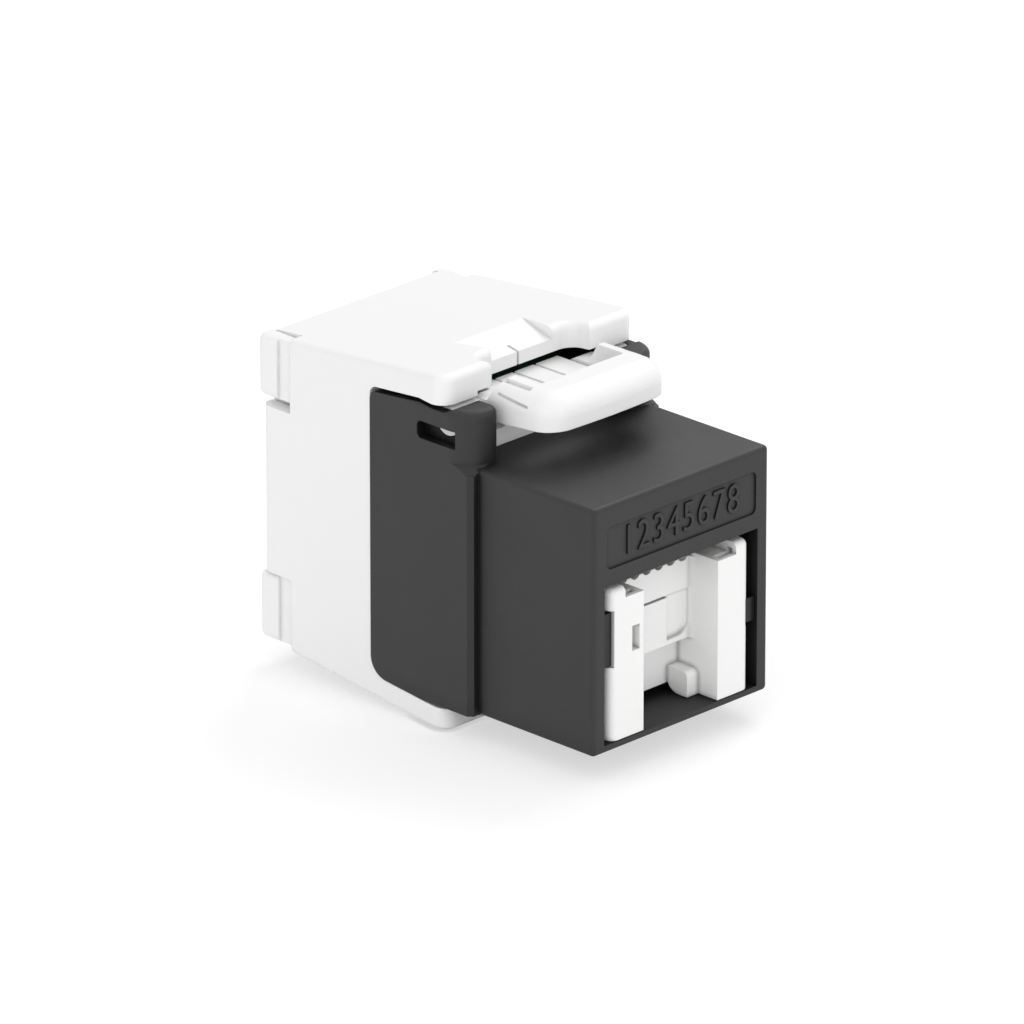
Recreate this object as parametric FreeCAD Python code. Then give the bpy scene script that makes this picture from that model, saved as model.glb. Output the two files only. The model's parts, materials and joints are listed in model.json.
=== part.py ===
import FreeCAD, Part

import math
import os

from FreeCAD import Vector

# Keystone jack: an 8-way modular socket that snaps into a panel from behind, with a
# push-in dust shutter in its port, a hinged panel latch above the nose and a wiring cap
# that pushes on over the insulation-displacement contacts.
#
# Millimetres. X is the width, +Y runs from the port to the cable, +Z is up.  While
# building, X = 0 is the middle of the nose, Y = 0 its front face and Z = 0 its underside.
# Every piece is then moved so that the origin is the bottom centre of the whole jack.

# ---- clearances -----------------------------------------------------------------------
SLIDE_GAP = 0.05          # between flat faces that slide on each other
TRUNNION_GAP = 0.05       # radial, latch trunnion in its bearing
SIDE_GAP = 0.35           # latch arm to tower

# ---- overall width of the cap, which every other width follows ------------------------
CAP_HALF_FRONT = 8.165
CAP_TAPER = 0.265         # how much narrower it is, each side, at the cable end
CAP_WALL = 0.95           # thickness of its side walls there
CHEEK_INSET = 0.035       # cheeks to the cap's sides
LUG_INSET = 0.05          # lugs to the cap's sides
NOSE_STEP = 0.7           # from the cheeks in to the nose
TOWER_WIDE = 2.73
CAP_HALF_REAR = CAP_HALF_FRONT - CAP_TAPER
BORE_HALF = CAP_HALF_REAR - CAP_WALL
CHEEK_OUT = CAP_HALF_FRONT - CHEEK_INSET
TOWER_IN = CHEEK_OUT - TOWER_WIDE

# ---- overall length, which the pieces at the cable end follow -------------------------
CAP_REAR = 27.2
LUG_FRONT = CAP_REAR - 2.5
LUG_REAR = CAP_REAR + 0.4
GUIDE_FRONT = LUG_FRONT - 2.8
BLOCK_REAR = GUIDE_FRONT - 0.4
BLADE_REAR = BLOCK_REAR - 0.6

# ---- nose, port and label -------------------------------------------------------------
NOSE_HALF = CHEEK_OUT - NOSE_STEP
NOSE_TOP = 15.65
EDGE_ROUND = 0.3
PORT_HALF = NOSE_HALF - 0.93
PORT_FLOOR = 0.5
PORT_TOP = 10.6
PORT_DEPTH = 13.4
LABEL_HALF = NOSE_HALF - 1.1
LABEL_LOW = 11.6
LABEL_HIGH = 14.3
LABEL_DEPTH = 0.1
LABEL_ROUND = 0.4
RAIL_MARGIN = 0.12        # a rail is this much narrower, each way, than its groove
RAIL_FRONT = 0.3

# ---- body behind the nose -------------------------------------------------------------
CHEEK_IN = CHEEK_OUT - 1.03
CHEEK_FRONT = 9.43
CHEEK_GAP = 0.05          # to the cap's cut-out, below and behind
CHEEK_TOP_GAP = 0.3
CHEEK_CHAMFER = 0.3
CORE_REAR = 15.5
FLAT_REAR = 13.5          # the underside is level up to here, then rises with the cap
TOWER_OUTER_ROUND = 1.8
TOWER_INNER_ROUND = 0.9
TOWER_TOP = 19.1
TOWER_FOOT = NOSE_TOP - 0.35  # the outer corner swells to the cheek's between these
TOWER_FOOT_TOP = NOSE_TOP + 0.15
TOWER_TOP_ROUND = 0.45
BEARING_REAR = 14.4
BEARING_WALL = CHEEK_OUT - 0.68  # inner face of the thin outer wall that hides the trunnion
WINDOW_Y = (10.75, 13.85)  # slot in the cheek through which the trunnion is seen
WINDOW_Z = (16.7, 17.8)

# ---- contacts -------------------------------------------------------------------------
CONTACT_COUNT = 8
CONTACT_PITCH = 1.016
CONTACT_WIDE = 0.35
CONTACT_THICK = 0.3
CONTACT_LEVEL = 12.2      # height at which the contacts leave the board
CONTACT_BEND_Y = 8.2
CONTACT_LOW = (4.2, 9.75)
CONTACT_TIP = (3.0, 10.65)
CHAMBER_HALF = 4.6
CHAMBER_FRONT = 2.2
CHAMBER_TOP = 13.2
CARRIER_FRONT = 9.8
CARRIER_LOW = 11.2

# ---- circuit board and insulation-displacement contacts -------------------------------
BOARD_HALF = BORE_HALF - 0.05
BOARD_THICK = 1.2
BOARD_LOW = 1.2
BOARD_HIGH = 18.0
BLOCK_HALF = BORE_HALF - 0.35
BLOCK_TALL = 4.8
BLOCK_MIDS = {"lower": 4.8, "upper": 14.2}
BLADE_OUT = BLOCK_HALF - 1.5
BLADE_XS = (-BLADE_OUT, -BLADE_OUT / 3, BLADE_OUT / 3, BLADE_OUT)
BLADE_WIDE = 0.45
BLADE_TALL = 3.0
BLADE_SLIT = 0.4

# ---- inner housing under the latch ----------------------------------------------------
HOUSING_HALF = TOWER_IN - 0.2
HOUSING_FRONT = 11.3
HOUSING_LOW_TOP = NOSE_TOP + 1.05
CROWN_HALF = TOWER_IN - 2.05  # raised middle, which is seen between the latch and the cap
CROWN_TOP = 18.75
CROWN_REAR = 13.5
CROWN_LIP_FRONT = 10.2    # its top runs forward over the wall below
CROWN_LIP_LOW = 18.1
CROWN_LINES = (-2.1, -0.5, 1.3)
CROWN_LINE_WIDE = 0.22
CROWN_LINE_DEEP = 0.1

# ---- port shutter ---------------------------------------------------------------------
SHUTTER_HALF = PORT_HALF - 0.62
SHUTTER_TOP = 10.15
SHUTTER_FRONT = 0.03
SHUTTER_REAR = 3.8
SHUTTER_CORNER = 0.55
CHANNEL_HALF = 3.15
WALL_FACE = 2.6
WALL_REAR = 3.9
WALL_LOW = 1.05
WALL_TOP = 9.2
LEDGE_LOW = 4.0           # under this height the channel's wall steps back
LEDGE_STEP = 0.7
BROW_LOW = 7.05
BROW_LINE = 0.16
PAD_HALF = 1.2
PAD_PROUD = 0.28
POCKET_HALF = 2.95        # outer end of the sunk pocket on each side of the pad
POCKET_ROUND = 0.8
SILL_TALL = 0.3
FOOT_X = (2.2, 3.4)
FOOT_FRONT = 1.6
FOOT_TOP = 2.15
FOOT_CURVE = 1.0
COMB_RADIUS = 0.42
COMB_DEEP = 0.2
POST_STEP_X = SHUTTER_HALF - 1.18
POST_STEP_Z = 9.45
SIDE_GROOVE = 0.3
LEFT_GROOVE_Z = (5.2, 8.8)
RIGHT_GROOVE_Z = (4.55, 6.3)
KEY_SLOT_X = (1.76 - SHUTTER_HALF, 2.38 - SHUTTER_HALF)
KEY_SLOT_Z = (5.87, 7.45)
# Narrow slot behind the lip at the front of each post's top.
POST_SLOT_X = (SHUTTER_HALF - 2.38, SHUTTER_HALF - 0.78)
POST_SLOT_Y = (0.35, 0.8)
POST_SLOT_LOW = 8.7

# ---- shutter springs ------------------------------------------------------------------
SPRING_X = SHUTTER_HALF - 1.53
SPRING_Z = 3.2
SPRING_RADIUS = 0.75      # to the middle of the wire
SPRING_WIRE = 0.24
SPRING_TURNS = 5
SPRING_POCKET = 1.05
SPRING_SEAT = 1.8

# ---- panel latch ----------------------------------------------------------------------
LATCH_HALF = TOWER_IN - SIDE_GAP
LATCH_FRONT = 5.5
LATCH_FRONT_LOW = 18.15
LATCH_TOP = 20.3
LATCH_REAR = 8.2
LATCH_CORNER = 1.6
LATCH_BOW = 0.12          # the front edge is this much further back at its corners
LATCH_ROUND = 1.35        # along the top edge, round the front and both sides
LATCH_OPEN_HALF = LATCH_HALF - 1.55
ARM_TOP_Y = 10.3          # the arms are level up to here
ARM_FALL_Y = 11.1         # and have fallen to the height of their hubs here
ARM_LOW_REAR = 17.75
ARM_LOW_Y = 10.1
PIVOT_Y = 12.0
PIVOT_Z = 17.98
TRUNNION_RADIUS = 0.9
TRUNNION_END = CHEEK_OUT - 0.75
HUB_RADIUS = 0.93
SIDE_LINE_Y = (7.8, 10.3)  # shallow line moulded along the outer side of each arm
SIDE_LINE_Z = (19.3, 19.5)
SIDE_LINE_DEEP = 0.25
ARM_GROOVE_X = (LATCH_HALF - 0.95, LATCH_HALF - 0.65)
ARM_GROOVE_DEEP = 0.3

# ---- wiring cap -----------------------------------------------------------------------
CAP_FRONT = 11.61
CAP_TOP_FRONT = 21.01
CAP_TOP_REAR = 19.57
CAP_LOW_FRONT = -1.72
CAP_LOW_REAR = -0.1
CAP_FRONT_CORNER = 1.0
CAP_REAR_CORNER = 0.7
CAP_RIM = 0.45
PLATE_TOP_THICK = 1.6
PLATE_LOW_THICK = 1.5
EAR_DROP = 0.3            # the plate is this much thicker over the towers
EAR_IN = TOWER_IN - 0.1   # inner end of that thicker part
EAR_REAR = (12.7, 13.7)   # and comes back to its own thickness between these places
CUTOUT_REAR = 17.84
CUTOUT_TOP_ROUND = 0.55
CUTOUT_LOW_ROUND = 1.4
BORE_LOW = 1.3
BORE_HIGH = 18.4
NOTCH_HALF = LATCH_HALF - 0.93
NOTCH_REAR_ROUND = 1.0
NOTCH_REAR = 13.2
SCOOP_REAR = 16.0
SCOOP_HALF = 2.45
SCOOP_HALF_REAR = 2.9
SCOOP_LOW = 20.1
SLIT_X = -0.3
SLIT_WIDE = 0.16
SLIT_LONG = 0.85

# ---- cable plate and wire guide -------------------------------------------------------
LUG_HALF = CAP_HALF_REAR - LUG_INSET
LUG_TOP_Z = (15.55, 19.55)
LUG_LOW_Z = (-0.05, 4.35)
LUG_GAP = 0.45
LUG_NOTCH_IN = 0.1        # the lugs' notches reach this far inside the cap's walls
LUG_ROUND = 0.5
LUG_STEP_LONG = 1.15      # the front of each lug's side is set back by the step
LUG_STEP = 0.2
LUG_WEB = 0.4             # a lug's web reaches this far into the plate
CABLE_RADIUS = 3.3
CABLE_Z = 9.9
PLATE_HALF = BORE_HALF - 0.15
PLATE_Z = (1.35, 18.35)
GUIDE_HALF = BORE_HALF - 0.1
GUIDE_SLOT_WIDE = 0.9
GUIDE_SLOT_LONG = 3.2
GUIDE_SLOT_DEEP = 1.4


# ---- small helpers --------------------------------------------------------------------
def box(x0, x1, y0, y1, z0, z1):
    return Part.makeBox(x1 - x0, y1 - y0, z1 - z0, Vector(x0, y0, z0))


def prism(points, sweep):
    """A closed polygon of vectors, extruded along the vector sweep."""
    return Part.Face(Part.makePolygon(points + points[:1])).extrude(sweep)


def side_prism(points_yz, x0, x1):
    return prism([Vector(x0, y, z) for y, z in points_yz], Vector(x1 - x0, 0, 0))


def plan_prism(points_xy, z0, z1):
    return prism([Vector(x, y, z0) for x, y in points_xy], Vector(0, 0, z1 - z0))


def rod_x(y, z, radius, x0, x1):
    return Part.makeCylinder(radius, x1 - x0, Vector(x0, y, z), Vector(1, 0, 0))


def rod_y(x, z, radius, y0, y1):
    return Part.makeCylinder(radius, y1 - y0, Vector(x, y0, z), Vector(0, 1, 0))


def mirrored(shape):
    return shape.mirror(Vector(0, 0, 0), Vector(1, 0, 0))


def both_sides(shape):
    return [shape, mirrored(shape)]


def straight_edges(shape, axis, **where):
    """Straight edges along an axis (0, 1 or 2) whose middle lies at the given x, y or z."""
    found = []
    for edge in shape.Edges:
        if edge.Curve.TypeId != "Part::GeomLine":
            continue
        way = edge.Vertexes[1].Point - edge.Vertexes[0].Point
        if abs(way[axis]) < 0.98 * edge.Length:
            continue
        middle = edge.CenterOfMass
        if all(abs(getattr(middle, name) - value) < 0.02 for name, value in where.items()):
            found.append(edge)
    return found


def contact_xs():
    first = -CONTACT_PITCH * (CONTACT_COUNT - 1) / 2
    return [first + CONTACT_PITCH * i for i in range(CONTACT_COUNT)]


# ---- body of the jack -----------------------------------------------------------------
def nose_block():
    block = box(-NOSE_HALF, NOSE_HALF, 0, CAP_FRONT - SLIDE_GAP, 0, NOSE_TOP)
    edges = straight_edges(block, 0, y=0) + straight_edges(block, 2, y=0)
    edges += straight_edges(block, 1)
    return block.makeFillet(EDGE_ROUND, edges)


def cheek_floor(y):
    """Height of the cheek's underside, level in front and then just above the cap."""
    return cap_sill(max(y, FLAT_REAR)) + CHEEK_GAP


def cheek_top(y):
    return min(TOWER_TOP, cap_ceiling(y) - CHEEK_TOP_GAP)


def ear_gap_top():
    """Height of the towers where the ears pass over them."""
    return ear_underside() - CHEEK_TOP_GAP


def cheek_profile(y0, z0, inner, outer):
    """Side outline from y0 back to the cap's cut-out, swept across from inner to outer."""
    rear = CUTOUT_REAR - CHEEK_GAP
    low = [(y0, z0), (FLAT_REAR, cheek_floor(FLAT_REAR)), (rear, cheek_floor(rear))]
    if z0 > cheek_floor(FLAT_REAR):
        low = [(y0, z0), (rear, z0)]
    return side_prism(low + [(rear, cheek_top(rear)), (CAP_FRONT, TOWER_TOP), (y0, TOWER_TOP)],
                      inner, outer)


def cheek():
    wall = cheek_profile(CHEEK_FRONT, cheek_floor(0), CHEEK_IN, CHEEK_OUT)
    rear = CUTOUT_REAR - CHEEK_GAP
    low = straight_edges(wall, 0, y=rear, z=cheek_floor(rear))
    wall = wall.makeFillet(CUTOUT_LOW_ROUND - CHEEK_GAP, low)
    high = straight_edges(wall, 0, y=rear, z=cheek_top(rear))
    wall = wall.makeFillet(CUTOUT_TOP_ROUND, high)
    wall = wall.makeChamfer(CHEEK_CHAMFER, straight_edges(wall, 2, x=CHEEK_OUT, y=CHEEK_FRONT))
    front = CHEEK_FRONT + TOWER_OUTER_ROUND
    return wall.cut(box(CHEEK_IN - 1, CHEEK_OUT + 1, CHEEK_FRONT - 1, front, TOWER_FOOT, 25))


def tower_foot():
    """Flare between the tower's round corner and the cheek's nearly sharp one."""
    x = CHEEK_OUT - TOWER_OUTER_ROUND
    y = CHEEK_FRONT + TOWER_OUTER_ROUND
    tall = TOWER_FOOT_TOP - TOWER_FOOT
    flare = Part.makeCone(TOWER_OUTER_ROUND + tall, TOWER_OUTER_ROUND, tall,
                          Vector(x, y, TOWER_FOOT))
    return flare.common(box(x, CHEEK_OUT, CHEEK_FRONT, y, TOWER_FOOT - 1, TOWER_FOOT_TOP + 1))


def tower():
    """Column beside the latch, with rounded front corners and a rounded top."""
    column = box(TOWER_IN, CHEEK_OUT, CHEEK_FRONT, BEARING_REAR, NOSE_TOP - 0.1, TOWER_TOP)
    outer = straight_edges(column, 2, x=CHEEK_OUT, y=CHEEK_FRONT)
    column = column.makeFillet(TOWER_OUTER_ROUND, outer)
    inner = straight_edges(column, 2, x=TOWER_IN, y=CHEEK_FRONT)
    return column.makeFillet(TOWER_INNER_ROUND, inner)


def shoulder():
    """Cheek and tower together, with the edge round their top softened."""
    joined = cheek().fuse([tower_foot(), tower()]).removeSplitter()
    rim = []
    for edge in joined.Edges:
        spots = [v.Point for v in edge.Vertexes] + [edge.CenterOfMass]
        level = all(abs(p.z - TOWER_TOP) < 0.01 for p in spots)
        if level and all(p.y < CAP_FRONT + 0.01 for p in spots):
            rim.append(edge)
    joined = joined.makeFillet(TOWER_TOP_ROUND, rim)
    low = ear_gap_top()
    under_ear = [(CAP_FRONT - 0.6, TOWER_TOP + 0.01), (CAP_FRONT, low), (EAR_REAR[0], low),
                 (EAR_REAR[1], cheek_top(EAR_REAR[1])), (20, cheek_top(20)), (20, 25),
                 (CAP_FRONT - 0.6, 25)]
    return joined.cut(side_prism(under_ear, TOWER_IN - 1, CHEEK_OUT + 1))


def bearing():
    """Bore for the latch's trunnion and the narrow neck that it snaps in through."""
    bore = rod_x(PIVOT_Y, PIVOT_Z, TRUNNION_RADIUS + TRUNNION_GAP, TOWER_IN - 1, BEARING_WALL)
    front = CAP_FRONT - SLIDE_GAP
    neck = box(TOWER_IN - 1, BEARING_WALL, front, 2 * PIVOT_Y - front + 0.25,
               PIVOT_Z, TOWER_TOP + 1)
    return bore.fuse(neck)


def cheek_window():
    y0, y1 = WINDOW_Y
    z0, z1 = WINDOW_Z
    slot = box(BEARING_WALL - 0.1, CHEEK_OUT + 1, y0, y1, z0, z1)
    corners = straight_edges(slot, 0, y=y1)
    return slot.makeFillet(0.35, corners)


def label_recess():
    pocket = box(-LABEL_HALF, LABEL_HALF, -1, LABEL_DEPTH, LABEL_LOW, LABEL_HIGH)
    return pocket.makeFillet(LABEL_ROUND, straight_edges(pocket, 1))


def side_rail(groove_z):
    """Right-hand rail of the port, which runs in the shutter's side groove."""
    inner = SHUTTER_HALF - SIDE_GROOVE + SLIDE_GAP
    z0, z1 = groove_z
    return box(inner, PORT_HALF + 0.1, RAIL_FRONT, PORT_DEPTH + 0.1,
               z0 + RAIL_MARGIN, z1 - RAIL_MARGIN)


def core():
    """Solid behind the nose, as high as the nose and level with the cheeks below."""
    side = [(CHEEK_FRONT, 0), (CHEEK_FRONT + 1, 0), (CHEEK_FRONT + 1.5, cheek_floor(0)),
            (FLAT_REAR, cheek_floor(FLAT_REAR)), (CORE_REAR, cheek_floor(CORE_REAR)),
            (CORE_REAR, NOSE_TOP), (CHEEK_FRONT, NOSE_TOP)]
    return side_prism(side, -NOSE_HALF, NOSE_HALF)


def jack_body():
    body = nose_block().fuse([core()] + both_sides(shoulder()))
    port = box(-PORT_HALF, PORT_HALF, -1, PORT_DEPTH, PORT_FLOOR, PORT_TOP)
    chamber = box(-CHAMBER_HALF, CHAMBER_HALF, CHAMBER_FRONT, CORE_REAR + 1,
                  PORT_TOP - 0.1, CHAMBER_TOP)
    cuts = [port, chamber, label_recess()] + both_sides(bearing()) + both_sides(cheek_window())
    rails = [side_rail(RIGHT_GROOVE_Z), mirrored(side_rail(LEFT_GROOVE_Z))]
    return body.cut(cuts).fuse(rails).removeSplitter()


def inner_housing():
    tongue = box(-HOUSING_HALF, HOUSING_HALF, HOUSING_FRONT, CORE_REAR, NOSE_TOP, HOUSING_LOW_TOP)
    crown = box(-CROWN_HALF, CROWN_HALF, HOUSING_FRONT, CROWN_REAR,
                HOUSING_LOW_TOP - 0.1, CROWN_TOP)
    lip = box(-CROWN_HALF, CROWN_HALF, CROWN_LIP_FRONT, CROWN_REAR, CROWN_LIP_LOW, CROWN_TOP)
    lines = [box(x, x + CROWN_LINE_WIDE, CROWN_LIP_FRONT - 1, CROWN_REAR + 1,
                 CROWN_TOP - CROWN_LINE_DEEP, CROWN_TOP + 1) for x in CROWN_LINES]
    return tongue.fuse([crown, lip]).cut(lines).removeSplitter()


# ---- contacts and board ---------------------------------------------------------------
def contact(x):
    """One spring contact: straight from the board, bent down to its low point, then up."""
    path = [
        (CORE_REAR, CONTACT_LEVEL),
        (CONTACT_BEND_Y, CONTACT_LEVEL),
        CONTACT_LOW,
        CONTACT_TIP,
    ]
    left = x - CONTACT_WIDE / 2
    pieces = []
    for (y0, z0), (y1, z1) in zip(path, path[1:]):
        run = math.hypot(y1 - y0, z1 - z0)
        across_y = (z1 - z0) / run * CONTACT_THICK / 2
        across_z = (y0 - y1) / run * CONTACT_THICK / 2
        corners = [(y0 + across_y, z0 + across_z), (y1 + across_y, z1 + across_z),
                   (y1 - across_y, z1 - across_z), (y0 - across_y, z0 - across_z)]
        pieces.append(side_prism(corners, left, left + CONTACT_WIDE))
    for y, z in path[1:-1]:
        pieces.append(rod_x(y, z, CONTACT_THICK / 2, left, left + CONTACT_WIDE))
    return pieces[0].fuse(pieces[1:]).removeSplitter()


def contact_carrier(contacts):
    block = box(-CHAMBER_HALF, CHAMBER_HALF, CARRIER_FRONT, CORE_REAR, CARRIER_LOW, CHAMBER_TOP)
    return block.cut(contacts)


def circuit_board():
    return box(-BOARD_HALF, BOARD_HALF, CORE_REAR, CORE_REAR + BOARD_THICK, BOARD_LOW, BOARD_HIGH)


def idc_blade(x, mid_z):
    """Flat blade standing on the board, slit from its free end to grip one wire."""
    front = CORE_REAR + BOARD_THICK
    blade = box(x - BLADE_WIDE / 2, x + BLADE_WIDE / 2, front, BLADE_REAR,
                mid_z - BLADE_TALL / 2, mid_z + BLADE_TALL / 2)
    slit = box(x - 1, x + 1, front + 1.4, BLADE_REAR + 1,
               mid_z - BLADE_SLIT / 2, mid_z + BLADE_SLIT / 2)
    return blade.cut(slit)


def idc_block(mid_z):
    front = CORE_REAR + BOARD_THICK
    low = mid_z - BLOCK_TALL / 2
    high = mid_z + BLOCK_TALL / 2
    block = box(-BLOCK_HALF, BLOCK_HALF, front, BLOCK_REAR, low, high)
    cuts = []
    for x in BLADE_XS:
        cuts.append(box(x - BLADE_WIDE / 2, x + BLADE_WIDE / 2, front - 1, BLOCK_REAR + 1,
                        mid_z - BLADE_TALL / 2, mid_z + BLADE_TALL / 2))
        cuts.append(box(x - 0.9, x + 0.9, front + 1.4, BLOCK_REAR + 1,
                        mid_z - 0.45, mid_z + 0.45))
    return block.cut(cuts)


# ---- port shutter ---------------------------------------------------------------------
def shutter_post(groove_z):
    """The right-hand post, with the groove that runs on the port's rail."""
    low = PORT_FLOOR + SLIDE_GAP
    post = box(CHANNEL_HALF, SHUTTER_HALF, SHUTTER_FRONT, SHUTTER_REAR, low, SHUTTER_TOP)
    post = post.makeFillet(SHUTTER_CORNER, straight_edges(post, 2, x=SHUTTER_HALF, y=SHUTTER_FRONT))
    crown = straight_edges(post, 1, x=SHUTTER_HALF, z=SHUTTER_TOP)
    post = post.makeFillet(0.4, crown)
    step = box(CHANNEL_HALF - 1, POST_STEP_X, SHUTTER_FRONT - 1, SHUTTER_REAR + 1,
               POST_STEP_Z, SHUTTER_TOP + 1)
    groove = box(SHUTTER_HALF - SIDE_GROOVE, SHUTTER_HALF + 1, SHUTTER_FRONT - 1,
                 SHUTTER_REAR + 1, *groove_z)
    pocket = rod_y(SPRING_X, SPRING_Z, SPRING_POCKET, SPRING_SEAT, SHUTTER_REAR + 1)
    slot = box(*POST_SLOT_X, *POST_SLOT_Y, POST_SLOT_LOW, POST_STEP_Z + 0.3)
    return post.cut([step, groove, pocket, slot])


def channel_root():
    """Concave quarter-round between a post and the channel's back wall."""
    radius = 0.7
    y0 = WALL_FACE - radius
    block = box(CHANNEL_HALF - radius, CHANNEL_HALF + 0.1, y0, WALL_FACE + 0.1,
                LEDGE_LOW, WALL_TOP)
    hollow = Part.makeCylinder(radius, WALL_TOP - LEDGE_LOW + 2,
                               Vector(CHANNEL_HALF - radius, y0, LEDGE_LOW - 1))
    return block.cut(hollow)


def shutter_foot():
    """Foot between a post and the wall; its underside curves up into the wall."""
    x0, x1 = FOOT_X
    rear = WALL_FACE + LEDGE_STEP
    low = PORT_FLOOR + SLIDE_GAP
    foot = box(x0, x1, FOOT_FRONT, rear, low, FOOT_TOP)
    foot = foot.makeFillet(0.4, straight_edges(foot, 0, y=FOOT_FRONT, z=FOOT_TOP))
    foot = foot.makeFillet(FOOT_CURVE, straight_edges(foot, 0, y=rear, z=low))
    root = box(x0, x1, rear - 0.3, WALL_REAR, WALL_LOW + 0.5, FOOT_TOP)
    return foot.fuse(root)


def channel_pocket():
    """Sunk field beside the pad, with a round lower outer corner."""
    z0 = LEDGE_LOW + SILL_TALL
    pocket = box(PAD_HALF, POCKET_HALF, WALL_FACE - 1, WALL_FACE, z0, BROW_LOW + 0.01)
    return pocket.makeFillet(POCKET_ROUND, straight_edges(pocket, 1, x=POCKET_HALF, z=z0))


def channel_wall():
    """Back of the channel: a brow, a band with a raised pad, and a stepped-back foot."""
    reach = CHANNEL_HALF + 0.1
    face = WALL_FACE - PAD_PROUD
    wall = box(-reach, reach, face, WALL_REAR, WALL_LOW, WALL_TOP)
    step = box(-reach, reach, face - 1, WALL_FACE + LEDGE_STEP, WALL_LOW - 1, LEDGE_LOW)
    line = box(-reach, reach, face - 1, WALL_FACE, BROW_LOW, BROW_LOW + BROW_LINE)
    return wall.cut([step, line] + both_sides(channel_pocket()))


def comb_hollows():
    """Shallow hollows in the wall's top edge, one under each contact in the channel."""
    z = WALL_TOP - COMB_DEEP + COMB_RADIUS
    return [rod_y(x, z, COMB_RADIUS, SHUTTER_FRONT, SHUTTER_REAR + 1)
            for x in contact_xs() if abs(x) < CHANNEL_HALF - COMB_RADIUS]


def port_shutter():
    posts = [shutter_post(RIGHT_GROOVE_Z), mirrored(shutter_post(LEFT_GROOVE_Z))]
    body = channel_wall().cut(comb_hollows())
    body = body.fuse(posts + both_sides(channel_root()) + both_sides(shutter_foot()))
    slot = box(*KEY_SLOT_X, SHUTTER_FRONT - 1, SHUTTER_REAR + 1, *KEY_SLOT_Z)
    return body.cut(slot).removeSplitter()


def shutter_spring():
    """Right-hand compression spring, from its pocket in the shutter to the port's back."""
    start = SPRING_SEAT + SPRING_WIRE / 2
    height = PORT_DEPTH - SPRING_WIRE / 2 - start
    helix = Part.makeHelix(height / SPRING_TURNS, height, SPRING_RADIUS)
    side = SPRING_WIRE / 2
    corners = [Vector(SPRING_RADIUS + dx, 0, dz)
               for dx, dz in ((-side, -side), (side, -side), (side, side), (-side, side))]
    section = Part.makePolygon(corners + corners[:1])
    coil = Part.Wire(helix).makePipeShell([section], True, True)
    coil.rotate(Vector(0, 0, 0), Vector(1, 0, 0), -90)
    coil.translate(Vector(SPRING_X, start, SPRING_Z))
    return coil


# ---- panel latch ----------------------------------------------------------------------
def latch_plan():
    """Plan outline of the latch, with round front corners and a slightly bowed front."""
    y_side = LATCH_FRONT + LATCH_BOW + LATCH_CORNER
    y_front = LATCH_FRONT + LATCH_BOW
    x_in = LATCH_HALF - LATCH_CORNER
    diagonal = LATCH_CORNER * math.sqrt(0.5)
    rear = PIVOT_Y
    left_mid = Vector(-x_in - diagonal, y_side - diagonal, 0)
    right_mid = Vector(x_in + diagonal, y_side - diagonal, 0)
    edges = [
        Part.makeLine(Vector(-LATCH_HALF, rear, 0), Vector(-LATCH_HALF, y_side, 0)),
        Part.Arc(Vector(-LATCH_HALF, y_side, 0), left_mid, Vector(-x_in, y_front, 0)).toShape(),
        Part.Arc(Vector(-x_in, y_front, 0), Vector(0, LATCH_FRONT, 0),
                 Vector(x_in, y_front, 0)).toShape(),
        Part.Arc(Vector(x_in, y_front, 0), right_mid, Vector(LATCH_HALF, y_side, 0)).toShape(),
        Part.makeLine(Vector(LATCH_HALF, y_side, 0), Vector(LATCH_HALF, rear, 0)),
        Part.makeLine(Vector(LATCH_HALF, rear, 0), Vector(-LATCH_HALF, rear, 0)),
    ]
    face = Part.Face(Part.Wire(edges))
    face.translate(Vector(0, 0, ARM_LOW_REAR - 2))
    return face.extrude(Vector(0, 0, LATCH_TOP - ARM_LOW_REAR + 2))


def latch_form():
    """Bar and arms in one, with the top edge rounded on the front and both sides."""
    form = latch_plan()
    rim = []
    for edge in form.Edges:
        middle = edge.CenterOfMass
        if abs(middle.z - LATCH_TOP) < 0.01 and middle.y < PIVOT_Y - 0.1:
            rim.append(edge)
    form = form.makeFillet(LATCH_ROUND, rim)
    side = [(LATCH_FRONT - 1, LATCH_FRONT_LOW), (LATCH_FRONT, LATCH_FRONT_LOW),
            (ARM_LOW_Y, ARM_LOW_REAR), (PIVOT_Y, PIVOT_Z - HUB_RADIUS),
            (PIVOT_Y, PIVOT_Z + HUB_RADIUS), (ARM_FALL_Y, PIVOT_Z + HUB_RADIUS),
            (ARM_TOP_Y, LATCH_TOP),
            (LATCH_FRONT - 1, LATCH_TOP)]
    return form.common(side_prism(side, -LATCH_HALF - 1, LATCH_HALF + 1))


def side_line():
    """Shallow line along the outer side of the right-hand arm."""
    y0, y1 = SIDE_LINE_Y
    z0, z1 = SIDE_LINE_Z
    half = 0.08
    outline = [(y0, z0 - half), (y1, z1 - half), (y1, z1 + half), (y0, z0 + half)]
    return side_prism(outline, LATCH_HALF - SIDE_LINE_DEEP, LATCH_HALF + 1)


def latch_hub():
    hub = rod_x(PIVOT_Y, PIVOT_Z, HUB_RADIUS, LATCH_OPEN_HALF, LATCH_HALF)
    trunnion = rod_x(PIVOT_Y, PIVOT_Z, TRUNNION_RADIUS, LATCH_HALF - 0.1, TRUNNION_END)
    return hub.fuse(trunnion)


def arm_groove():
    return box(*ARM_GROOVE_X, LATCH_REAR, ARM_TOP_Y, LATCH_TOP - ARM_GROOVE_DEEP, LATCH_TOP + 1)


def panel_latch():
    opening = box(-LATCH_OPEN_HALF, LATCH_OPEN_HALF, LATCH_REAR, PIVOT_Y + 2,
                  ARM_LOW_REAR - 2, LATCH_TOP + 1)
    body = latch_form().cut([opening] + both_sides(arm_groove()) + both_sides(side_line()))
    return body.fuse(both_sides(latch_hub())).removeSplitter()


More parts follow.
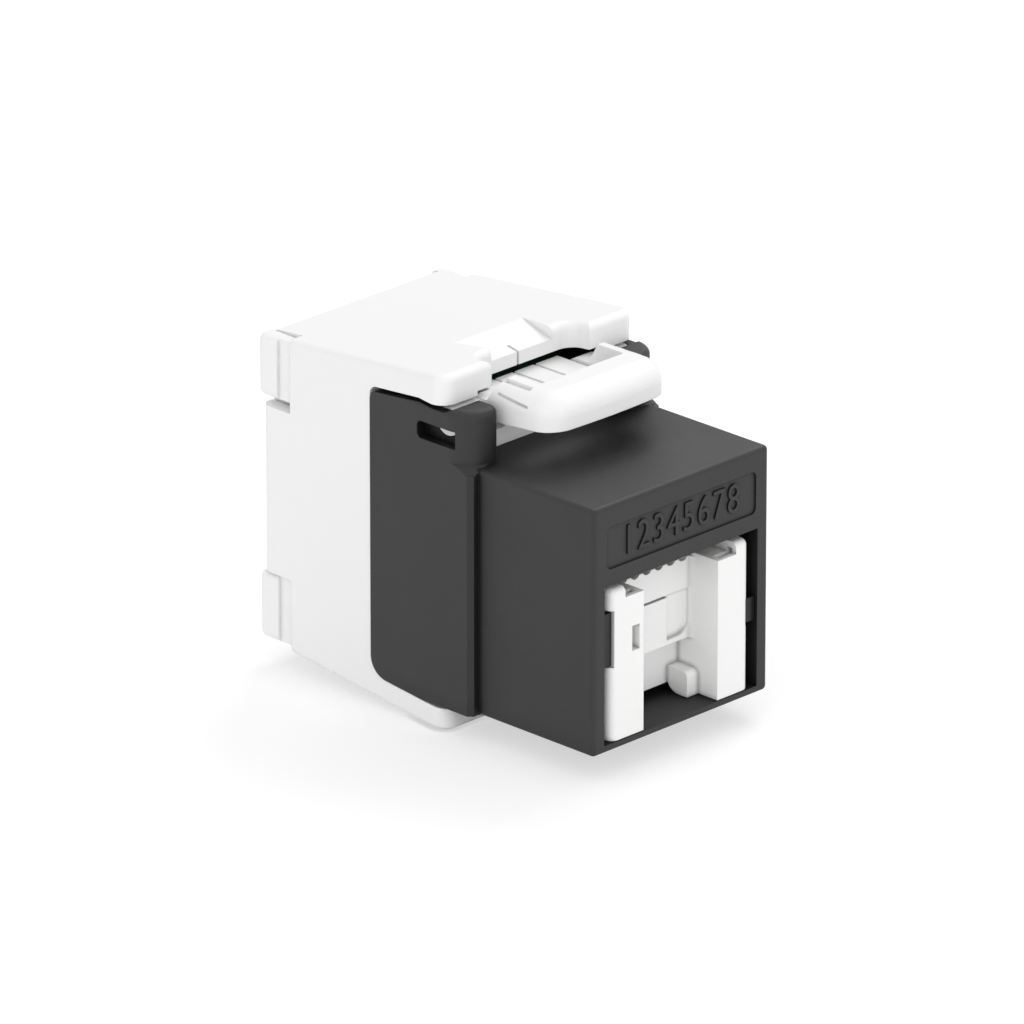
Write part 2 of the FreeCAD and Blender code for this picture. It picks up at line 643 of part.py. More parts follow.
# ---- wiring cap -----------------------------------------------------------------------
def cap_block():
    """Outer form of the cap with its notch, tapering towards the cable on all four sides."""
    plan = [(-CAP_HALF_FRONT, CAP_FRONT), (CAP_HALF_FRONT, CAP_FRONT),
            (CAP_HALF_REAR, CAP_REAR), (-CAP_HALF_REAR, CAP_REAR)]
    side = [(CAP_FRONT, CAP_LOW_FRONT), (CAP_REAR, CAP_LOW_REAR),
            (CAP_REAR, CAP_TOP_REAR), (CAP_FRONT, CAP_TOP_FRONT)]
    reach = CAP_HALF_FRONT + 1
    block = plan_prism(plan, CAP_LOW_FRONT - 1, CAP_TOP_FRONT + 1)
    block = block.common(side_prism(side, -reach, reach))
    block = block.makeFillet(CAP_FRONT_CORNER, straight_edges(block, 2, y=CAP_FRONT))
    block = block.makeFillet(CAP_REAR_CORNER, straight_edges(block, 2, y=CAP_REAR))
    block = block.cut(latch_notch())
    rims = [edge for edge in block.Edges if on_cap_plane(edge, cap_top)]
    rims += [edge for edge in block.Edges if on_cap_plane(edge, cap_low)]
    return block.makeFillet(CAP_RIM, rims)


def on_cap_plane(edge, height):
    """Whether an edge lies in the cap's sloping top or bottom plane."""
    spots = [v.Point for v in edge.Vertexes] + [edge.CenterOfMass]
    first, last = edge.ParameterRange
    spots.append(edge.valueAt((first + last) / 2))
    return all(abs(p.z - height(p.y)) < 0.01 for p in spots)


def cap_top(y):
    share = (y - CAP_FRONT) / (CAP_REAR - CAP_FRONT)
    return CAP_TOP_FRONT + share * (CAP_TOP_REAR - CAP_TOP_FRONT)


def cap_low(y):
    share = (y - CAP_FRONT) / (CAP_REAR - CAP_FRONT)
    return CAP_LOW_FRONT + share * (CAP_LOW_REAR - CAP_LOW_FRONT)


def cap_ceiling(y):
    """Underside of the top plate, which runs parallel to its outside."""
    return cap_top(y) - PLATE_TOP_THICK


def cap_sill(y):
    """Upper side of the bottom plate."""
    return cap_low(y) + PLATE_LOW_THICK


def ear_underside():
    return cap_ceiling(CAP_FRONT) - EAR_DROP


def side_cutout():
    """Opening for the jack's body, right across the cap, with rounded rear corners."""
    reach = CAP_HALF_FRONT + 1
    y0 = CAP_FRONT - 4
    y1 = CUTOUT_REAR
    outline = [(y0, cap_sill(y0)), (y1, cap_sill(y1)), (y1, cap_ceiling(y1)),
               (EAR_REAR[1], cap_ceiling(EAR_REAR[1])), (EAR_REAR[0], ear_underside()),
               (y0, ear_underside())]
    cutout = side_prism(outline, -reach, reach)
    low = straight_edges(cutout, 0, y=y1, z=cap_sill(y1))
    cutout = cutout.makeFillet(CUTOUT_LOW_ROUND, low)
    high = straight_edges(cutout, 0, y=y1, z=cap_ceiling(y1))
    return cutout.makeFillet(CUTOUT_TOP_ROUND, high)


def arm_relief():
    """Room for the latch's arms under the plate's inner corners."""
    y0 = CAP_FRONT - 4
    y1 = EAR_REAR[1]
    low = ear_underside() - 0.1
    outline = [(y0, low), (y1, low), (y1, cap_ceiling(y1)), (y0, cap_ceiling(y0))]
    return side_prism(outline, -EAR_IN, EAR_IN)


def latch_notch():
    """Opening in the top plate between its two ears, with round rear corners."""
    notch = box(-NOTCH_HALF, NOTCH_HALF, CAP_FRONT - 2, NOTCH_REAR, cap_ceiling(CUTOUT_REAR) - 1,
                CAP_TOP_FRONT + 1)
    return notch.makeFillet(NOTCH_REAR_ROUND, straight_edges(notch, 2, y=NOTCH_REAR))


def scoop():
    """Thumb scoop behind the notch, deepest at the notch and running out to the rear."""
    y0 = NOTCH_REAR - 1
    plan = [(-SCOOP_HALF, y0), (SCOOP_HALF, y0), (SCOOP_HALF_REAR, SCOOP_REAR),
            (-SCOOP_HALF_REAR, SCOOP_REAR)]
    side = [(y0, SCOOP_LOW), (NOTCH_REAR, SCOOP_LOW), (SCOOP_REAR, cap_top(SCOOP_REAR)),
            (SCOOP_REAR, CAP_TOP_FRONT + 1), (y0, CAP_TOP_FRONT + 1)]
    wedge = side_prism(side, -SCOOP_HALF_REAR, SCOOP_HALF_REAR)
    return wedge.common(plan_prism(plan, SCOOP_LOW - 1, CAP_TOP_FRONT + 1))


def lug_notches():
    """Openings at the cap's rear corners for the cable plate's lugs."""
    inner = BORE_HALF - LUG_NOTCH_IN
    top = box(inner, CAP_HALF_FRONT + 1, LUG_FRONT, CAP_REAR + 1,
              LUG_TOP_Z[0] - LUG_GAP, CAP_TOP_FRONT + 1)
    low = box(inner, CAP_HALF_FRONT + 1, LUG_FRONT, CAP_REAR + 1,
              CAP_LOW_FRONT - 1, LUG_LOW_Z[1] + SLIDE_GAP)
    return both_sides(top) + both_sides(low)


def wiring_cap():
    inside = box(-BORE_HALF, BORE_HALF, CUTOUT_REAR - 2, CAP_REAR + 1, BORE_LOW, BORE_HIGH)
    slit = box(SLIT_X - SLIT_WIDE / 2, SLIT_X + SLIT_WIDE / 2, NOTCH_REAR - 1,
               NOTCH_REAR + SLIT_LONG, cap_ceiling(CUTOUT_REAR) - 1, CAP_TOP_FRONT)
    cuts = [side_cutout(), arm_relief(), inside, scoop(), slit] + lug_notches()
    return cap_block().cut(cuts).removeSplitter()


def lug(z0, z1):
    """Outer block of a right-hand lug, and the web that joins it to the plate."""
    front = LUG_FRONT + SLIDE_GAP
    inner = BORE_HALF - LUG_NOTCH_IN + SLIDE_GAP
    body = box(inner, LUG_HALF, front, LUG_REAR, z0, z1)
    edges = straight_edges(body, 2, x=LUG_HALF, y=LUG_REAR) + straight_edges(body, 0, y=LUG_REAR)
    edges += straight_edges(body, 1, x=LUG_HALF)
    body = body.makeFillet(LUG_ROUND, edges)
    step = box(LUG_HALF - LUG_STEP, LUG_HALF + 1, front - 1, front + LUG_STEP_LONG, z0 - 1, z1 + 1)
    body = body.cut(step)
    web = box(PLATE_HALF - LUG_WEB, inner + LUG_WEB, front, CAP_REAR,
              max(z0, PLATE_Z[0]), min(z1, PLATE_Z[1]))
    return body.fuse(web)


def cable_plate():
    plate = box(-PLATE_HALF, PLATE_HALF, LUG_FRONT, CAP_REAR, *PLATE_Z)
    bore = rod_y(0, CABLE_Z, CABLE_RADIUS, LUG_FRONT - 1, CAP_REAR + 1)
    lugs = both_sides(lug(*LUG_TOP_Z)) + both_sides(lug(*LUG_LOW_Z))
    return plate.cut(bore).fuse(lugs).removeSplitter()


def wire_guide():
    """Plate in front of the cable plate that leads the eight wires to their blades."""
    plate = box(-GUIDE_HALF, GUIDE_HALF, GUIDE_FRONT, LUG_FRONT, *PLATE_Z)
    cuts = [rod_y(0, CABLE_Z, CABLE_RADIUS, GUIDE_FRONT - 1, LUG_FRONT + 1)]
    for mid_z in BLOCK_MIDS.values():
        for x in BLADE_XS:
            cuts.append(box(x - GUIDE_SLOT_WIDE / 2, x + GUIDE_SLOT_WIDE / 2, GUIDE_FRONT - 1,
                            GUIDE_FRONT + GUIDE_SLOT_DEEP, mid_z - GUIDE_SLOT_LONG / 2,
                            mid_z + GUIDE_SLOT_LONG / 2))
    return plate.cut(cuts).removeSplitter()


# ---- all pieces -----------------------------------------------------------------------
def build():
    parts = {"jack_body": jack_body(), "inner_housing": inner_housing()}
    contacts = [contact(x) for x in contact_xs()]
    for i, piece in enumerate(contacts, start=1):
        parts[f"contact_{i}"] = piece
    parts["contact_carrier"] = contact_carrier(contacts)
    parts["circuit_board"] = circuit_board()
    number = 1
    for row, mid_z in BLOCK_MIDS.items():
        parts[f"idc_block_{row}"] = idc_block(mid_z)
        for x in BLADE_XS:
            parts[f"idc_contact_{number}"] = idc_blade(x, mid_z)
            number += 1
    parts["port_shutter"] = port_shutter()
    spring = shutter_spring()
    parts["shutter_spring_right"] = spring
    parts["shutter_spring_left"] = mirrored(spring)
    parts["panel_latch"] = panel_latch()
    parts["wiring_cap"] = wiring_cap()
    parts["wire_guide"] = wire_guide()
    parts["cable_plate"] = cable_plate()
    return parts


def origin_of(parts):
    """Bottom centre of the box round the whole jack."""
    whole = Part.makeCompound(list(parts.values())).optimalBoundingBox(False, False)
    return Vector(whole.Center.x, whole.Center.y, whole.ZMin)


def main():
    os.makedirs("parts", exist_ok=True)
    parts = build()
    origin = origin_of(parts)
    for name, shape in parts.items():
        if len(shape.Solids) != 1 or not shape.isValid():
            raise ValueError(f"{name} is not one valid solid")
        solid = shape.Solids[0]
        solid.translate(origin * -1)
        solid.exportStep(f"parts/{name}.step")
        print(f"{name}: {solid.Volume:.3f} mm3")
    print(f"{len(parts)} parts, origin was {origin.x:.4f} {origin.y:.4f} {origin.z:.4f}")


main()
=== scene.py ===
import json
import math

import bmesh
import bpy
from mathutils import Matrix, Vector

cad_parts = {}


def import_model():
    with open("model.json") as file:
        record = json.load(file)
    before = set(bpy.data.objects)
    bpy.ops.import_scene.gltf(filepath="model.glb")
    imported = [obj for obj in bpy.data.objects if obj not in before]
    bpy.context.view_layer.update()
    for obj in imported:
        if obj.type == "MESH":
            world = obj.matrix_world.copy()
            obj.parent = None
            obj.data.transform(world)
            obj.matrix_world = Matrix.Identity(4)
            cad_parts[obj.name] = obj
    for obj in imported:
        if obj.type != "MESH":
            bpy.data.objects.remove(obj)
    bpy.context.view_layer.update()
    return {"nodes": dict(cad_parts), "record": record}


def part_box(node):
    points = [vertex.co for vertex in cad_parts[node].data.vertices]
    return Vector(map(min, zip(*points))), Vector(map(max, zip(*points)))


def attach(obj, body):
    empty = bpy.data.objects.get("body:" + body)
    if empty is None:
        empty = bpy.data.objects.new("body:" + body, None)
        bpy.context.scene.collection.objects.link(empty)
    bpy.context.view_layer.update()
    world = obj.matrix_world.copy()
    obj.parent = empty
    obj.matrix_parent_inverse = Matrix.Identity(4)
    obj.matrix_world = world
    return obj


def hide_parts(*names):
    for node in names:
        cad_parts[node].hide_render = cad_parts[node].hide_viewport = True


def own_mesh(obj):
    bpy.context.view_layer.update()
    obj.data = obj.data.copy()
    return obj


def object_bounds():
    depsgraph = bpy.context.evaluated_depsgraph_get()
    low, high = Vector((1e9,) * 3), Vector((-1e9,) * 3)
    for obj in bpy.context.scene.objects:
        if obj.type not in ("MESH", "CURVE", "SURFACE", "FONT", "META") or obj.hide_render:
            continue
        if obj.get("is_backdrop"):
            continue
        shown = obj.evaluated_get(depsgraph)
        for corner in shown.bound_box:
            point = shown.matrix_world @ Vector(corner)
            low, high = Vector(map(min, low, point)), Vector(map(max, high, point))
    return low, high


# Looks of the keystone jack: finishes, raised contact numbers in the label recess, the
# wound wire of the shutter's springs, studio light and camera. Lengths are in metres, in
# the frame of the CAD pieces.

MM = 0.001

DARK = (0.0325, 0.0325, 0.033)
WHITE = (0.90, 0.90, 0.898)
SHUTTER_WHITE = (0.905, 0.905, 0.90)
BLOCK_WHITE = (0.72, 0.72, 0.70)
BOARD_GREEN = (0.012, 0.075, 0.03)
GOLD = (0.87, 0.62, 0.24)
TIN = (0.62, 0.61, 0.58)
STEEL = (0.55, 0.55, 0.56)

# Moulded finishes: colour, roughness, scale and height of the grain, gloss, and the shares
# of the colour left by painted shade in a fine corner and in a wider hollow.
PLASTICS = {
    "dark_plastic": (DARK, 0.55, 9000.0, 0.012 * MM, 0.36, 0.35, 0.12),
    "white_plastic": (WHITE, 0.42, 6000.0, 0.004 * MM, 0.32, 0.85, 1.0),
    "shutter_plastic": (SHUTTER_WHITE, 0.38, 6000.0, 0.003 * MM, 0.36, 0.55, 1.0),
    "block_plastic": (BLOCK_WHITE, 0.45, 6000.0, 0.003 * MM, 0.4, 0.7, 1.0),
}
# Metal finishes: colour, roughness and scale of the fine scratches.
METALS = {
    "contact_metal": (GOLD, 0.24, 3000.0),
    "blade_metal": (TIN, 0.34, 2500.0),
    "spring_steel": (STEEL, 0.28, 4000.0),
}
FLOW_SCALE = 260.0                # broad change of gloss across a moulding
# Painted shade: an occlusion node darkens the colour itself in fine corners and wider
# hollows, standing in for the shade that falls there.
CREASE_SHADE_REACH = 0.35 * MM
HOLLOW_SHADE_REACH = 3.0 * MM
CORNER_SHADE_SHARE = 0.45               # how open a square corner is to a surface in it
CORNER_SAMPLES = 8
EDGE_SOFT = 0.06 * MM
EDGE_SAMPLES = 6
# share of the board's colour that painted shade leaves in hollows
BOARD_HOLLOW_SHADE = 0.5

DIGIT_TALL = 1.85 * MM
DIGIT_PITCH = 1.27 * MM
DIGIT_NARROW = 0.86
DIGIT_BEVEL = 0.02 * MM
DIGIT_FOOT = 0.02 * MM            # how far a digit's foot lies in the recess floor
FONT_TALL = 0.7                   # height of a numeral in a font of size 1
LABEL_MIDDLE = 12.95 * MM         # above the nose's underside
LABEL_DEPTH = 0.1 * MM

SPRING_WIRE = 0.24 * MM
SPRING_TURNS = 7.0                # five that work and one closed turn at each end
SPRING_CLOSED = 0.03              # share of the length that a closed turn takes
SPRING_STEPS = 28                 # points a turn
WIRE_SIDES = 10

CAMERA_AZIMUTH = math.radians(-45.5)
CAMERA_ELEVATION = math.radians(21.9)
CAMERA_LENS = 450.0
CAMERA_SENSOR = 36.0
VIEW_WIDTH = 60.95 * MM
AIM_FROM_NOSE = Vector((-0.08, 13.905, 9.60)) * MM    # from the foot of the nose's front

SKY_BRIGHT_SIDE = Vector((-0.62, -0.785, 0.0))
SKY_LOW = 0.225
SKY_HIGH = 1.34
KEY_PLACE = Vector((0.35, 0.1, 0.5))
KEY_AIM = Vector((0.0, 0.0, 0.01))
KEY_SIZE = 0.3
KEY_WATTS = 1.25
FLOOR_SIZE = 4.0
PAPER_WHITE = (0.97, 0.97, 0.97)
FLOOR_GLOW = 0.58                 # of the floor's white that no shadow takes away
FLOOR_SHADE = (0.5, 0.5, 0.5)     # and the colour that the light on it gives


# ---- materials ------------------------------------------------------------------------
def new_material(name):
    """A material with nothing but a principled shader, to which its nodes are added."""
    material = bpy.data.materials.new(name)
    material.use_nodes = True
    tree = material.node_tree
    tree.nodes.clear()
    output = tree.nodes.new("ShaderNodeOutputMaterial")
    shader = tree.nodes.new("ShaderNodeBsdfPrincipled")
    tree.links.new(shader.outputs["BSDF"], output.inputs["Surface"])
    return material, tree, shader


def noise(tree, coordinates, scale, detail=4.0):
    node = tree.nodes.new("ShaderNodeTexNoise")
    node.inputs["Scale"].default_value = scale
    node.inputs["Detail"].default_value = detail
    tree.links.new(coordinates, node.inputs["Vector"])
    return node.outputs["Fac"]


def ranged(tree, value, low, high):
    """The value with nought to one spread over low to high."""
    node = tree.nodes.new("ShaderNodeMapRange")
    node.inputs["To Min"].default_value = low
    node.inputs["To Max"].default_value = high
    tree.links.new(value, node.inputs["Value"])
    return node.outputs["Result"]


def openness(tree, reach, deep):
    """One in the open, falling to deep in corners and hollows narrower than reach: the
    share of the colour that painted shade leaves there.
    """
    crease = tree.nodes.new("ShaderNodeAmbientOcclusion")
    crease.samples = CORNER_SAMPLES
    crease.inputs["Distance"].default_value = reach
    share = ranged(tree, crease.outputs["AO"], deep, 1.0)
    share.node.inputs["From Min"].default_value = CORNER_SHADE_SHARE
    return share


def shaded_color(tree, color, crease, hollow):
    """The colour with painted shade: darker in fine corners by crease and in wider hollows
    by hollow.
    """
    both = tree.nodes.new("ShaderNodeMath")
    both.operation = "MULTIPLY"
    tree.links.new(openness(tree, CREASE_SHADE_REACH, crease), both.inputs[0])
    tree.links.new(openness(tree, HOLLOW_SHADE_REACH, hollow), both.inputs[1])
    scale = tree.nodes.new("ShaderNodeVectorMath")
    scale.operation = "SCALE"
    scale.inputs[0].default_value = color
    tree.links.new(both.outputs[0], scale.inputs["Scale"])
    return scale.outputs["Vector"]


def plastic(name, color, roughness, grain_scale, grain_height, gloss, crease, hollow):
    """Moulded plastic: fine spark-eroded grain, edges softened by the bevel node, and shade
    painted into the colour in corners and hollows.
    """
    material, tree, shader = new_material(name)
    coordinates = tree.nodes.new("ShaderNodeTexCoord").outputs["Object"]
    # the base colour carries painted shade in corners and hollows
    tree.links.new(shaded_color(tree, color, crease, hollow), shader.inputs["Base Color"])
    shader.inputs["Specular IOR Level"].default_value = gloss
    broad = noise(tree, coordinates, FLOW_SCALE, 3.0)
    rough = ranged(tree, broad, roughness - 0.05, roughness + 0.05)
    tree.links.new(rough, shader.inputs["Roughness"])
    bevel = tree.nodes.new("ShaderNodeBevel")
    bevel.samples = EDGE_SAMPLES
    bevel.inputs["Radius"].default_value = EDGE_SOFT
    grain = noise(tree, coordinates, grain_scale, 6.0)
    bump = tree.nodes.new("ShaderNodeBump")
    bump.inputs["Strength"].default_value = 1.0
    bump.inputs["Distance"].default_value = grain_height
    tree.links.new(grain, bump.inputs["Height"])
    tree.links.new(bevel.outputs["Normal"], bump.inputs["Normal"])
    tree.links.new(bump.outputs["Normal"], shader.inputs["Normal"])
    return material


def metal(name, color, roughness, scratch_scale):
    """Plated or drawn metal, whose gloss varies with fine scratches."""
    material, tree, shader = new_material(name)
    coordinates = tree.nodes.new("ShaderNodeTexCoord").outputs["Object"]
    shader.inputs["Base Color"].default_value = (*color, 1.0)
    shader.inputs["Metallic"].default_value = 1.0
    streaks = noise(tree, coordinates, scratch_scale, 5.0)
    tree.links.new(ranged(tree, streaks, roughness - 0.06, roughness + 0.1),
                   shader.inputs["Roughness"])
    return material


def solder_mask(name):
    """Green lacquer over woven laminate, with shade painted into the colour in hollows."""
    material, tree, shader = new_material(name)
    coordinates = tree.nodes.new("ShaderNodeTexCoord").outputs["Object"]
    weave = noise(tree, coordinates, 1400.0, 2.0)
    ramp = tree.nodes.new("ShaderNodeMix")
    ramp.data_type = "RGBA"
    ramp.inputs["A"].default_value = (*BOARD_GREEN, 1.0)
    ramp.inputs["B"].default_value = (*(1.6 * c for c in BOARD_GREEN), 1.0)
    tree.links.new(weave, ramp.inputs["Factor"])
    # painted shade: the colour is darkened in hollows
    painted_shade_dim = tree.nodes.new("ShaderNodeVectorMath")
    painted_shade_dim.operation = "SCALE"
    tree.links.new(ramp.outputs["Result"], painted_shade_dim.inputs[0])
    tree.links.new(openness(tree, HOLLOW_SHADE_REACH, BOARD_HOLLOW_SHADE), painted_shade_dim.inputs["Scale"])
    tree.links.new(painted_shade_dim.outputs["Vector"], shader.inputs["Base Color"])
    shader.inputs["Roughness"].default_value = 0.4
    return material


def make_finishes():
    """A material for each of the record's slots, by the slot's name."""
    finishes = {name: plastic(name, *values) for name, values in PLASTICS.items()}
    finishes.update((name, metal(name, *values)) for name, values in METALS.items())
    finishes["board_laminate"] = solder_mask("board_laminate")
    return finishes


def paint_nodes(frame, finishes):
    for row in frame["record"]["subparts"]:
        materials = frame["nodes"][row["node"]].data.materials
        materials.clear()
        materials.append(finishes[row["material_slot"]])


# ---- label ----------------------------------------------------------------------------
def digit(number, x, nose_low):
    """One raised numeral on the label recess, no higher than the nose's front face."""
    curve = bpy.data.curves.new(f"digit_{number}", "FONT")
    curve.body = str(number)
    curve.align_x = "CENTER"
    curve.align_y = "CENTER"
    curve.size = DIGIT_TALL / FONT_TALL
    middle = (LABEL_DEPTH + DIGIT_FOOT) / 2
    curve.extrude = middle - DIGIT_BEVEL
    curve.bevel_depth = DIGIT_BEVEL
    curve.bevel_resolution = 1
    curve.offset = -DIGIT_BEVEL
    curve.resolution_u = 5
    holder = bpy.data.objects.new(f"label_digit_{number}", curve)
    bpy.context.collection.objects.link(holder)
    holder.location = (x, nose_low[1] + middle, nose_low[2] + LABEL_MIDDLE)
    holder.rotation_euler = (math.radians(90), 0, 0)
    holder.scale.x = DIGIT_NARROW
    bpy.context.view_layer.objects.active = holder
    holder.select_set(True)
    bpy.ops.object.convert(target="MESH")
    made = bpy.context.object
    made.select_set(False)
    made.data.transform(made.matrix_basis)
    made.matrix_basis = Matrix.Identity(4)
    return made


def label(material):
    """The contact numbers 1 to 8 in the label recess."""
    nose_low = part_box("jack_body")[0]
    for number in range(1, 9):
        made = digit(number, (number - 4.5) * DIGIT_PITCH, nose_low)
        made.data.materials.append(material)
        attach(made, "body")


# ---- shutter springs ------------------------------------------------------------------
def spring_tree(material):
    """Round wire wound along Y, with a closed turn at each end, from nought to Length."""
    tree = bpy.data.node_groups.new("compression_spring", "GeometryNodeTree")
    for name in ("Coil Radius", "Wire Radius", "Length", "Turns"):
        tree.interface.new_socket(name, in_out="INPUT", socket_type="NodeSocketFloat")
    tree.interface.new_socket("Left Hand", in_out="INPUT", socket_type="NodeSocketBool")
    tree.interface.new_socket("Geometry", in_out="OUTPUT", socket_type="NodeSocketGeometry")

    def node(kind, **links):
        made = tree.nodes.new(kind)
        for name, source in links.items():
            tree.links.new(source, made.inputs[name.replace("_", " ")])
        return made

    sizes = node("NodeGroupInput").outputs
    turns = node("GeometryNodeCurveSpiral", Rotations=sizes["Turns"],
                 Start_Radius=sizes["Coil Radius"], End_Radius=sizes["Coil Radius"],
                 Reverse=sizes["Left Hand"])
    turns.inputs["Resolution"].default_value = SPRING_STEPS
    turns.inputs["Height"].default_value = 0.0
    along = node("ShaderNodeFloatCurve",
                 Value=node("GeometryNodeSplineParameter").outputs["Factor"])
    line = along.mapping.curves[0]
    turn = 1.0 / SPRING_TURNS
    line.points.new(turn, SPRING_CLOSED)
    line.points.new(1.0 - turn, 1.0 - SPRING_CLOSED)
    for point in line.points:
        point.handle_type = "VECTOR"
    along.mapping.update()
    thick = node("ShaderNodeMath", Value=sizes["Wire Radius"])
    thick.operation = "MULTIPLY"
    thick.inputs[1].default_value = 2.0
    inner = node("ShaderNodeMath", Value=sizes["Length"])
    inner.operation = "SUBTRACT"
    tree.links.new(thick.outputs[0], inner.inputs[1])
    height = node("ShaderNodeMath", Value=along.outputs["Value"])
    height.operation = "MULTIPLY_ADD"
    tree.links.new(inner.outputs[0], height.inputs[1])
    tree.links.new(sizes["Wire Radius"], height.inputs[2])
    flat = node("ShaderNodeSeparateXYZ",
                Vector=node("GeometryNodeInputPosition").outputs["Position"])
    rising = node("ShaderNodeCombineXYZ", X=flat.outputs["X"], Y=height.outputs[0],
                  Z=flat.outputs["Y"])
    path = node("GeometryNodeSetPosition", Geometry=turns.outputs["Curve"],
                Position=rising.outputs["Vector"])
    wire = node("GeometryNodeCurvePrimitiveCircle", Radius=sizes["Wire Radius"])
    wire.inputs["Resolution"].default_value = WIRE_SIDES
    sweep = node("GeometryNodeCurveToMesh", Curve=path.outputs["Geometry"],
                 Profile_Curve=wire.outputs["Curve"])
    sweep.inputs["Fill Caps"].default_value = True
    smooth = node("GeometryNodeSetShadeSmooth", Geometry=sweep.outputs["Mesh"])
    whole = node("GeometryNodeRealizeInstances", Geometry=smooth.outputs["Geometry"])
    finished = node("GeometryNodeSetMaterial", Geometry=whole.outputs["Geometry"])
    finished.inputs["Material"].default_value = material
    node("NodeGroupOutput", Geometry=finished.outputs["Geometry"])
    return tree


def wound(tree, values):
    """The mesh that the tree makes with these values for its named inputs."""
    holder = bpy.data.objects.new("winding", bpy.data.meshes.new("winding"))
    bpy.context.collection.objects.link(holder)
    modifier = holder.modifiers.new("winding", "NODES")
    modifier.node_group = tree
    for socket in tree.interface.items_tree:
        if socket.in_out == "INPUT":
            modifier[socket.identifier] = values[socket.name]
    seen = holder.evaluated_get(bpy.context.evaluated_depsgraph_get())
    data = bpy.data.meshes.new_from_object(seen)
    bpy.data.objects.remove(holder)
    shell = bmesh.new()
    shell.from_mesh(data)
    bmesh.ops.recalc_face_normals(shell, faces=shell.faces)
    shell.to_mesh(data)
    shell.free()
    return data


def spring(tree, node, left_hand):
    """A spring in the place of the plain one, squashed against its seat by the shutter."""
    low, high = (Vector(corner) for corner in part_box(node))
    long = high.y - low.y
    data = wound(tree, {
        "Coil Radius": (high.x - low.x - SPRING_WIRE) / 2,
        "Wire Radius": SPRING_WIRE / 2,
        "Length": long,
        "Turns": SPRING_TURNS,
        "Left Hand": left_hand,
    })
    middle = (low + high) / 2
    data.transform(Matrix.Translation((middle.x, low.y, middle.z)))
    made = bpy.data.objects.new(f"{node}_wire", data)
    bpy.context.collection.objects.link(made)
    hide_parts(node)
    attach(made, "body")
    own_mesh(made)


def springs(material):
    tree = spring_tree(material)
    spring(tree, "shutter_spring_left", True)
    spring(tree, "shutter_spring_right", False)


# ---- studio ---------------------------------------------------------------------------
def seen_rays(tree):
    """One for what the camera sees, itself or in a reflection, and nought for light."""
    path = tree.nodes.new("ShaderNodeLightPath")
    seen = path.outputs["Is Camera Ray"]
    for name in ("Is Glossy Ray", "Is Transmission Ray"):
        either = tree.nodes.new("ShaderNodeMath")
        either.operation = "MAXIMUM"
        tree.links.new(seen, either.inputs[0])
        tree.links.new(path.outputs[name], either.inputs[1])
        seen = either.outputs[0]
    return seen


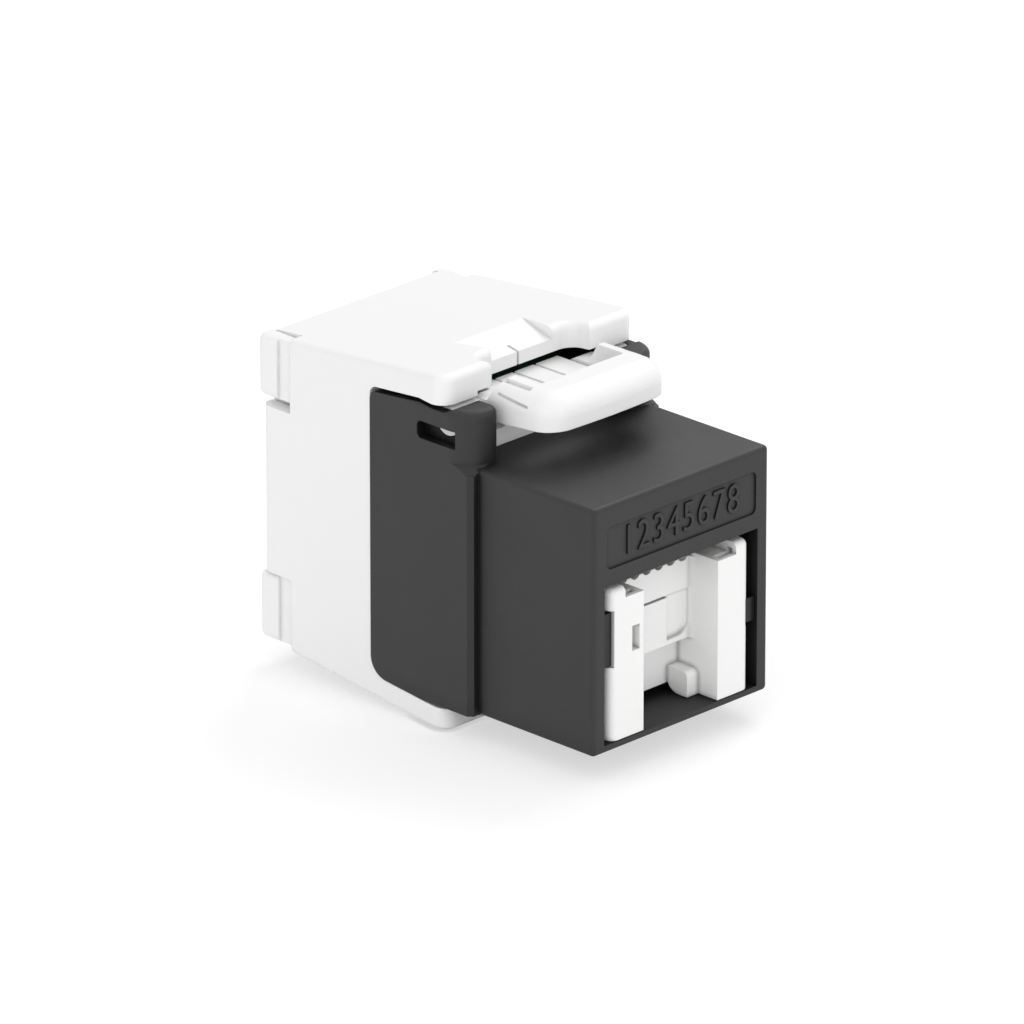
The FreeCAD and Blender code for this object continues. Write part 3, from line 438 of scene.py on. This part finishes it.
def floor():
    """White paper, which looks plain white away from the object and keeps its shadow, with
    painted shade added where it meets the object.
    """
    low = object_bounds()[0]
    bpy.ops.mesh.primitive_plane_add(size=FLOOR_SIZE, location=(0, 0, low[2]))
    plane = bpy.context.object
    plane.name = "floor"
    material, tree, shader = new_material("paper_white")
    coordinates = tree.nodes.new("ShaderNodeTexCoord").outputs["Object"]
    shader.inputs["Base Color"].default_value = (*PAPER_WHITE, 1.0)
    tree.links.new(ranged(tree, noise(tree, coordinates, 40.0), 0.85, 0.95),
                   shader.inputs["Roughness"])
    shader.inputs["Specular IOR Level"].default_value = 0.1
    shade = tree.nodes.new("ShaderNodeBsdfDiffuse")
    # painted contact shadow: the shade colour is darkened by occlusion next to the object
    tree.links.new(shaded_color(tree, FLOOR_SHADE, 0.2, 0.8), shade.inputs["Color"])
    glow = tree.nodes.new("ShaderNodeEmission")
    glow.inputs["Strength"].default_value = FLOOR_GLOW
    look = tree.nodes.new("ShaderNodeAddShader")
    tree.links.new(shade.outputs["BSDF"], look.inputs[0])
    tree.links.new(glow.outputs["Emission"], look.inputs[1])
    mix = tree.nodes.new("ShaderNodeMixShader")
    tree.links.new(seen_rays(tree), mix.inputs["Fac"])
    tree.links.new(shader.outputs["BSDF"], mix.inputs[1])
    tree.links.new(look.outputs["Shader"], mix.inputs[2])
    output = next(n for n in tree.nodes if n.type == "OUTPUT_MATERIAL")
    tree.links.new(mix.outputs["Shader"], output.inputs["Surface"])
    plane.data.materials.append(material)
    plane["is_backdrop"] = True


def key_light():
    data = bpy.data.lights.new("key", "AREA")
    data.shape = "SQUARE"
    data.size = KEY_SIZE
    data.energy = KEY_WATTS
    light = bpy.data.objects.new("key", data)
    bpy.context.collection.objects.link(light)
    light.location = KEY_PLACE
    light.rotation_euler = (KEY_AIM - KEY_PLACE).to_track_quat("-Z", "Y").to_euler()
    light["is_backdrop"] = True


def world():
    """White tent, brighter towards the camera's side, and plain white where it is seen."""
    sky = bpy.data.worlds.new("studio")
    sky.use_nodes = True
    tree = sky.node_tree
    background = tree.nodes["Background"]
    way = tree.nodes.new("ShaderNodeTexCoord").outputs["Generated"]
    facing = tree.nodes.new("ShaderNodeVectorMath")
    facing.operation = "DOT_PRODUCT"
    facing.inputs[1].default_value = SKY_BRIGHT_SIDE.normalized()
    tree.links.new(way, facing.inputs[0])
    tent = tree.nodes.new("ShaderNodeMapRange")
    tent.inputs["From Min"].default_value = -1.0
    tent.inputs["From Max"].default_value = 1.0
    tent.inputs["To Min"].default_value = SKY_LOW
    tent.inputs["To Max"].default_value = SKY_HIGH
    tree.links.new(facing.outputs["Value"], tent.inputs["Value"])
    seen = tree.nodes.new("ShaderNodeMix")
    seen.inputs["B"].default_value = 1.0
    tree.links.new(tent.outputs["Result"], seen.inputs["A"])
    tree.links.new(seen_rays(tree), seen.inputs["Factor"])
    tree.links.new(seen.outputs["Result"], background.inputs["Strength"])
    background.inputs["Color"].default_value = (1.0, 1.0, 1.0, 1.0)
    bpy.context.scene.world = sky


def camera():
    """A long lens, so that the edges run nearly parallel."""
    data = bpy.data.cameras.new("camera")
    data.lens = CAMERA_LENS
    data.sensor_width = CAMERA_SENSOR
    data.clip_start = 0.01
    data.clip_end = 20.0
    holder = bpy.data.objects.new("camera", data)
    bpy.context.collection.objects.link(holder)
    back = Vector((
        math.sin(CAMERA_AZIMUTH) * math.cos(CAMERA_ELEVATION),
        -math.cos(CAMERA_AZIMUTH) * math.cos(CAMERA_ELEVATION),
        math.sin(CAMERA_ELEVATION),
    ))
    distance = CAMERA_LENS / CAMERA_SENSOR * VIEW_WIDTH
    aim = Vector(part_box("jack_body")[0])
    aim.x = 0.0
    holder.location = aim + AIM_FROM_NOSE + back * distance
    holder.rotation_euler = (-back).to_track_quat("-Z", "Y").to_euler()
    bpy.context.scene.camera = holder


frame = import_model()
finishes = make_finishes()
paint_nodes(frame, finishes)
label(finishes["dark_plastic"])
springs(finishes["spring_steel"])
floor()
world()
key_light()
camera()
bpy.context.scene.view_settings.view_transform = "Standard"
